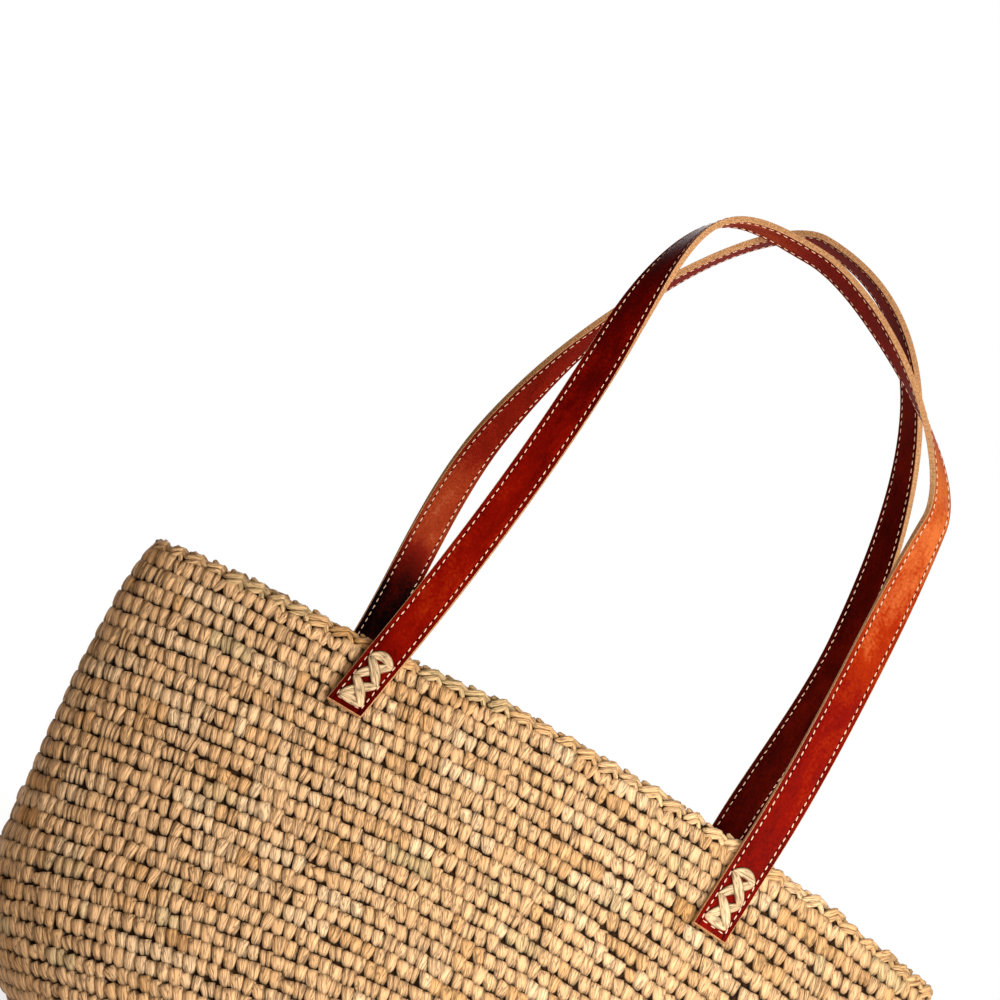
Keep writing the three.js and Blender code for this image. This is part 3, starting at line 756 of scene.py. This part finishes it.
class StrapLine:
    """Middle line of a whole strap, tab to tab, with its directions across and out at each step."""

    def __init__(self, handle, turned):
        self.seats = {key: TabSeat(handle[key], turned) for key in ("left", "right")}
        crown = handle["crown"]
        feet = (self.seats["left"].foot[2] + self.seats["right"].foot[2]) / 2
        self.top = np.array([crown["x"] * MM, -APEX_DEPTH, feet + crown["rise"] * MM])
        left = self.half(handle, "left")
        right = [row[::-1] for row in self.half(handle, "right")]
        self.centre, self.across, self.out = (np.concatenate([a, b[1:]]) for a, b in zip(left, right))
        steps = np.linalg.norm(np.diff(self.centre, axis=0), axis=1)
        self.run = np.concatenate([[0], np.cumsum(steps)]) - TAB_SPARE
        self.length = self.run[-1] - TAB_SPARE
        if turned:
            for line in (self.centre, self.across, self.out):
                line[:, :2] *= -1

    def half(self, handle, key):
        """Centres, across and out from below a tab's end to the crown, across as on the left half."""
        side, seat, crown = handle[key], self.seats[key], handle["crown"]
        sign = 1 if key == "left" else -1
        tab = np.linspace(-seat.drop - TAB_SPARE, TAB_RISE, 40)[:-1, None]
        flat = seat.at(0, tab, STRAP_MIDDLE)
        foot, top = seat.foot, self.top
        shoulder_y = foot[1] + (top[1] - foot[1]) * SHOULDER_LEAN_IN
        shoulder = np.array([side["shoulder"] * MM, shoulder_y, foot[2] + side["rise"] * MM])
        ease = math.radians(side["ease"])
        inwards = (top[1] - foot[1]) / (crown["rise"] * MM)
        rise = unit(np.array([math.sin(ease), inwards, math.cos(ease)]))
        third = np.linalg.norm(foot - shoulder) / 3
        inward = np.array([np.sign(side["foot"] - crown["x"]) * side["crown"] * MM, 0, 0])
        lower = bezier([foot, foot + seat.along * third, shoulder - rise * third, shoulder])
        upper = bezier([shoulder, shoulder + rise * side["tail"] * MM, top + inward, top])
        loop = by_length(np.concatenate([lower, upper[1:]]), 241)
        along = unit(np.gradient(loop, axis=0)) * sign
        front = unit(np.array([0, -1, 0]) + along * along[:, 1:2])
        away = np.cross(front, along)
        start = np.arctan2(away @ seat.out, front @ seat.out)
        share = np.linspace(0, 1, len(loop))
        twist = start + (math.radians(crown["twist"]) - start) * smoothstep(*side["turn"], share)
        twist[0] = start[0]
        out = front * np.cos(twist)[:, None] + away * np.sin(twist)[:, None]
        across = np.cross(along, out)
        tabs = len(flat)
        return (np.concatenate([flat, loop]),
                np.concatenate([np.tile(seat.across * sign, (tabs, 1)), across]),
                np.concatenate([np.tile(seat.out, (tabs, 1)), out]))

    def place(self, flat):
        """Points given as across, run and out, set on the strap's line, with skewed and curled tab ends."""
        x, run, z = flat.T
        lift = np.zeros(len(flat))
        shift = np.zeros(len(flat))
        for seat, from_end, sign in (
            (self.seats["left"], run, 1),
            (self.seats["right"], self.length - run, -1),
        ):
            shift += seat.skew * x * np.clip(1 - from_end / seat.drop, 0, 1)
            curled = np.clip(1 - from_end / TAB_CURL, 0, 1)
            lift += seat.curl * curled ** 2
            shift += sign * z * 2 * seat.curl / TAB_CURL * curled
        centre, across, out = (
            np.stack([np.interp(run + shift, self.run, c) for c in line.T], -1)
            for line in (self.centre, self.across, self.out))
        return centre + unit(across) * x[:, None] + unit(out) * (z + lift)[:, None]


def lay_on_strap(mesh, line, name, *looks):
    """Bends a mesh made flat in strap coordinates onto the strap's line."""
    flat = read_points(mesh)
    add_attribute(mesh, "strap", "FLOAT_VECTOR", flat / MM)
    write_points(mesh, line.place(flat))
    return to_object(mesh, name, *looks)


def leather_layer(line, low, high, dye_and_painted_light, name, face, edge):
    """One leather layer from tab end to tab end, with eased edges and a shallow sewing groove."""
    groove = [SEAM_LINE - SEAM_GROOVE_HALF, SEAM_LINE, SEAM_LINE + SEAM_GROOVE_HALF]
    reach = np.array([0.4 * STRAP_HALF, *groove, 0.95 * STRAP_HALF, STRAP_HALF])
    columns = np.concatenate([-reach[::-1], [0], reach])
    rows = 280
    touching = 0.01 * MM
    bm = bmesh.new()
    bmesh.ops.create_grid(bm, x_segments=len(columns) - 1, y_segments=rows, size=1)
    for v in bm.verts:
        column = round((v.co.x + 1) / 2 * (len(columns) - 1))
        v.co = (columns[column], (v.co.y + 1) / 2 * line.length, low)
    bm.normal_update()
    bmesh.ops.solidify(bm, geom=bm.faces, thickness=-(high - low))
    outside = high if high > 0 else low
    sharp = [e for e in bm.edges if e.calc_face_angle() > 1]
    eased = [e for e in sharp if all(abs(v.co.z - outside) < touching for v in e.verts)]
    bmesh.ops.bevel(bm, geom=eased, offset=EDGE_EASE, segments=2,
                    profile=0.5, affect="EDGES", material=-1)
    bmesh.ops.recalc_face_normals(bm, faces=bm.faces)
    for f in bm.faces:
        f.material_index = 1 if max(abs(f.normal.x), abs(f.normal.y)) > 0.3 else 0
    for v in bm.verts:
        if abs(v.co.z - outside) < touching and abs(abs(v.co.x) - SEAM_LINE) < touching:
            v.co.z -= math.copysign(SEAM_GROOVE_DEPTH, outside)
    mesh = to_mesh(bm, name)
    # Lightness along the strap, from the tables: dye together with painted shade and painted highlight
    share = read_points(mesh)[:, 1] / line.length
    add_attribute(mesh, "dye_and_painted_light", "FLOAT", np.interp(share, *zip(*dye_and_painted_light)))
    layer = lay_on_strap(mesh, line, name, face, edge)
    cut = np.empty(len(mesh.polygons), np.int32)
    mesh.polygons.foreach_get("material_index", cut)
    mesh.polygons.foreach_set("use_smooth", cut == 0)
    return layer


def seam(line, face, name, look):
    """Sewing stitches of one face of a strap: down both edges and across the tab ends."""
    bm = bmesh.new()
    bmesh.ops.create_uvsphere(bm, u_segments=6, v_segments=5, radius=1)
    bmesh.ops.rotate(bm, verts=bm.verts, cent=(0, 0, 0), matrix=rotation("X", -90))
    bmesh.ops.scale(bm, verts=bm.verts, vec=SEAM_STITCH)
    template = to_mesh(bm, "seam_stitch")
    shape = read_points(template)
    places = []
    sewn = line.length - 2 * SEAM_HEM
    count = round(sewn / SEAM_PITCH)
    for side in (-1, 1):
        for k in range(count):
            run = SEAM_HEM + (k + 0.5) * sewn / count
            places.append((side * SEAM_LINE, run, math.radians(rng.normal(SEAM_SLANT, SEAM_UNEVEN))))
    across = round(2 * SEAM_LINE / SEAM_PITCH)
    for run in (SEAM_HEM, line.length - SEAM_HEM):
        for k in range(across):
            x = -SEAM_LINE + (k + 0.5) * 2 * SEAM_LINE / across
            places.append((x, run, math.radians(90 + rng.normal(0, SEAM_UNEVEN))))
    bm = bmesh.new()
    for x, y, turn in places:
        template.transform(Matrix.Translation((x, y, face)) @ Matrix.Rotation(turn, 4, "Z"))
        bm.from_mesh(template)
        write_points(template, shape)
    return lay_on_strap(to_mesh(bm, name), line, name, look)


def lace_points(start, end, bow, crest):
    """Line of a raffia strand over the tab from hole to hole, bowed sideways and arched up."""
    t = np.linspace(0, 1, 25)
    line = np.outer(1 - t, [*start, 0]) + np.outer(t, [*end, 0])
    side = unit(np.array([start[1] - end[1], end[0] - start[0], 0]))
    arch = np.sin(np.pi * t)
    line += np.outer(arch * bow, side)
    line[:, 2] = crest * np.clip(arch * 2.2, 0, 1) ** 0.7 - LACE_DIP * (1 - arch) ** 6
    return line


def lace_ribbon(line, width, facing):
    """Two raffia strands side by side along a line, pinched at the ends and crowned out of the wall (1) or
    into the bag (-1); also each corner's lift in millimetres."""
    steps, ribs = len(line) - 1, 8
    bm = bmesh.new()
    lift = bm.verts.layers.float.new("lift")
    bmesh.ops.create_grid(bm, x_segments=ribs, y_segments=steps, size=1)
    flat = np.array([v.co for v in bm.verts])
    t = (flat[:, 1] + 1) / 2
    row = np.rint(t * steps).astype(int)
    along = unit(np.gradient(line, axis=0))[row]
    side = unit(np.cross(along, [0, 0, 1]))
    thick = np.cross(side, along) * facing
    spread = 0.48 + 0.52 * np.sin(np.pi * t) ** 0.6
    crown = 0.55 * (1 - flat[:, 0] ** 2) + 0.6 * (1 - (2 * np.abs(flat[:, 0]) - 1) ** 2)
    co = line[row] + side * (flat[:, :1] * spread[:, None] * width / 2) + thick * (crown * MM)[:, None]
    for v, p, h in zip(bm.verts, co, crown):
        v.co = p
        v[lift] = h
    bmesh.ops.recalc_face_normals(bm, faces=bm.faces)
    bmesh.ops.solidify(bm, geom=bm.faces, thickness=LACE_THICKNESS)
    bmesh.ops.recalc_face_normals(bm, faces=bm.faces)
    mesh = to_mesh(bm, "lace")
    lifts = np.empty(len(mesh.vertices))
    mesh.attributes["lift"].data.foreach_get("value", lifts)
    return mesh, lifts


def make_lacing(seat, name, look):
    """Lacing of a tab: a bowed bar on top, two crosses, a bar below, and two bars inside the wall."""
    left, right = seat.left, seat.right
    runs = [
        (left[0], right[0], TOP_BOW, LACE_LOW),
        (right[0], left[1], -CROSS_BOW, LACE_LOW),
        (left[0], right[1], CROSS_BOW, LACE_HIGH),
        (right[1], left[2], -CROSS_BOW, LACE_LOW),
        (left[1], right[2], CROSS_BOW, LACE_HIGH),
        (left[2], right[2], BOTTOM_BOW, LACE_LOW),
    ]
    bm = bmesh.new()
    strand, tint = [], []
    for k, (start, end, bow, crest) in enumerate(runs):
        line = lace_points(start, end, bow, crest)
        line[:, 2] += 2 * STRAP_MIDDLE - CLEARANCE
        mesh, lifts = lace_ribbon(line, LACE_WIDTH, 1)
        bm.from_mesh(mesh)
        chord = unit(np.array([end[0] - start[0], end[1] - start[1], 0]))
        co = read_points(mesh) / MM
        # The lift sets painted shade: darker towards the strands' edges and in the groove between the two
        # strands
        strand.append(np.stack([co @ np.cross(chord, [0, 0, 1]), co @ chord, lifts], -1))
        tint.append(np.full(len(co), 0.25 + 0.07 * k))
    for column in (left, right):
        top, bottom = column[0], column[2]
        line = np.linspace([*top, 0], [*bottom, 0], 25)
        line[:, 1] += np.linspace(INNER_LACE_PAST, -INNER_LACE_PAST, 25)
        line[:, 2] = -FABRIC - INNER_LACE_OFF
        mesh, lifts = lace_ribbon(line, INNER_LACE_WIDTH, -1)
        bm.from_mesh(mesh)
        co = read_points(mesh) / MM
        strand.append(np.stack([co[:, 0], co[:, 1], lifts], -1))
        tint.append(np.full(len(co), 0.5))
    mesh = to_mesh(bm, name)
    add_attribute(mesh, "strand", "FLOAT_VECTOR", np.concatenate(strand))
    add_attribute(mesh, "tint", "FLOAT", np.concatenate(tint))
    mesh.transform(seat.matrix())
    return to_object(mesh, name, look)


def make_handles(lines):
    outer = leather_material(
        "bridle_leather", 0.45,
        (0.0, "#200201"), (0.25, "#4C0301"), (0.5, "#780B02"), (0.75, "#982804"), (1.0, "#C26430"))
    lining = leather_material(
        "lining_leather", 0.5,
        (0.0, "#0A0101"), (0.3, "#500902"), (0.6, "#74160A"), (0.85, "#943618"), (1.0, "#A0583C"))
    edge = cut_edge_material()
    thread = thread_material()
    # The last two numbers are the lifts in millimetres between which the lacing gets painted shade
    lace = raffia_material("lacing_raffia", "#BE946A", "#DEBD92", "#E8CDA4", -0.6, 0.9)
    near, far, sunk = 0.02 * MM, GLUE_HALF + LEATHER, 0.05 * MM
    for key, handle, turned in (("front", FRONT_HANDLE, False), ("back", BACK_HANDLE, True)):
        line = lines[key]
        body = f"{key}_handle"
        straps = {}
        for layer, low, high, face in (("outer", near, far, outer), ("lining", -far, -near, lining)):
            name = f"{key}_strap_{layer}"
            straps[layer] = leather_layer(line, low, high, handle[layer], name, face, edge)
        for layer, piece in straps.items():
            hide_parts(*(f"{body}_{layer}_{part}" for part in ("loop", "tab_left", "tab_right")))
        seams = [
            seam(line, far - sunk, f"{key}_seam_outer", thread),
            seam(line, sunk - far, f"{key}_seam_lining", thread),
        ]
        for piece in [*straps.values(), *seams]:
            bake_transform(piece)
        for side, seat in line.seats.items():
            lacing = make_lacing(seat, f"{key}_lace_{side}", lace)
            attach(lacing, "bag")
            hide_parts(f"{key}_lacing_{side}")


# Stage, light and camera

def make_stage():
    """A pale paper floor that keeps the bag's shadow near it and runs out to white further off."""
    bm = bmesh.new()
    bmesh.ops.create_circle(bm, cap_ends=True, segments=96, radius=FLOOR_RADIUS)
    bmesh.ops.translate(bm, verts=bm.verts, vec=(0, 0, -FLOOR_DROP))
    look, tree, shader = new_material("pale_paper_floor")
    shader.inputs["Base Color"].default_value = linear("#F4F4F4")
    shader.inputs["Roughness"].default_value = 0.9
    seen = seen_rays(tree)
    place = add_node(tree, "ShaderNodeTexCoord")
    reach = add_node(tree, "ShaderNodeVectorMath", dict(operation="LENGTH"), i0=place.outputs["Object"])
    plain = add_node(tree, "ShaderNodeMapRange", Value=reach.outputs["Value"],
                     From_Min=0.3, From_Max=1.2, To_Min=0.7, To_Max=1.0)
    share = add_node(tree, "ShaderNodeMath", dict(operation="MULTIPLY"), i0=seen, i1=plain.outputs[0])
    white = add_node(tree, "ShaderNodeEmission", Color=(1, 1, 1, 1), Strength=1.0)
    mixed = add_node(tree, "ShaderNodeMixShader",
                     Fac=share.outputs[0], i1=shader.outputs[0], i2=white.outputs[0])
    tree.links.new(mixed.outputs[0], tree.nodes["Material Output"].inputs["Surface"])
    to_object(to_mesh(bm, "floor"), "floor", look)


def seen_rays(tree):
    """1 for the rays in which the white surroundings are seen, 0 for those that only light the bag."""
    rays = add_node(tree, "ShaderNodeLightPath")
    seen = add_node(tree, "ShaderNodeMath", dict(operation="MAXIMUM"),
                    i0=rays.outputs["Is Camera Ray"], i1=rays.outputs["Is Glossy Ray"])
    seen = add_node(tree, "ShaderNodeMath", dict(operation="MAXIMUM"),
                    i0=seen.outputs[0], i1=rays.outputs["Is Transmission Ray"])
    return seen.outputs[0]


def make_light():
    """A large key lamp from the right, a small one near the front, a wide one behind and a warm fill."""
    scene = bpy.context.scene
    world = bpy.data.worlds.new("studio")
    scene.world = world
    world.use_nodes = True
    tree = world.node_tree
    soft = tree.nodes["Background"]
    soft.inputs["Color"].default_value = linear("#FFD09A")
    soft.inputs["Strength"].default_value = 0.2
    white = add_node(tree, "ShaderNodeBackground", Color=(1, 1, 1, 1), Strength=1.0)
    mixed = add_node(tree, "ShaderNodeMixShader",
                     Fac=seen_rays(tree), i1=soft.outputs[0], i2=white.outputs[0])
    tree.links.new(mixed.outputs[0], tree.nodes["World Output"].inputs["Surface"])
    for name, place, size, power in (
        ("key", (1.25, -1.6, 0.7), 0.7, 38),
        ("front", (0.15, -0.52, 0.16), 0.26, 1.85),
        ("back", (-0.6, 1.9, 1.3), 1.4, 25),
    ):
        lamp = bpy.data.lights.new(name, "AREA")
        lamp.shape = "DISK"
        lamp.size = size
        lamp.energy = power
        thing = bpy.data.objects.new(name, lamp)
        thing.visible_camera = False
        thing.location = place
        thing.rotation_euler = (LAMP_AIM - Vector(place)).to_track_quat("-Z", "Y").to_euler()
        scene.collection.objects.link(thing)


def make_camera():
    """A camera that looks a little upwards at the front, turned about its axis as the photograph is."""
    rise, roll = math.radians(CAMERA_RISE), math.radians(CAMERA_ROLL)
    view = np.array([0, math.cos(rise), math.sin(rise)])
    level_up = np.array([0, -math.sin(rise), math.cos(rise)])
    level_right = np.array([1.0, 0, 0])
    right = level_right * math.cos(roll) + level_up * math.sin(roll)
    up = level_up * math.cos(roll) - level_right * math.sin(roll)
    data = bpy.data.cameras.new("camera")
    data.sensor_fit = "HORIZONTAL"
    data.angle = math.radians(CAMERA_ANGLE)
    data.clip_end = 50
    camera = bpy.data.objects.new("camera", data)
    camera.matrix_world = to_matrix(right, up, -view, CAMERA_PLACE)
    bpy.context.scene.collection.objects.link(camera)
    bpy.context.scene.camera = camera


bpy.context.scene.view_settings.view_transform = "Standard"
make_camera()
make_light()
make_stage()
strap_lines = {"front": StrapLine(FRONT_HANDLE, False), "back": StrapLine(BACK_HANDLE, True)}
make_body([seat for line in strap_lines.values() for seat in line.seats.values()])
make_edging()
make_handles(strap_lines)
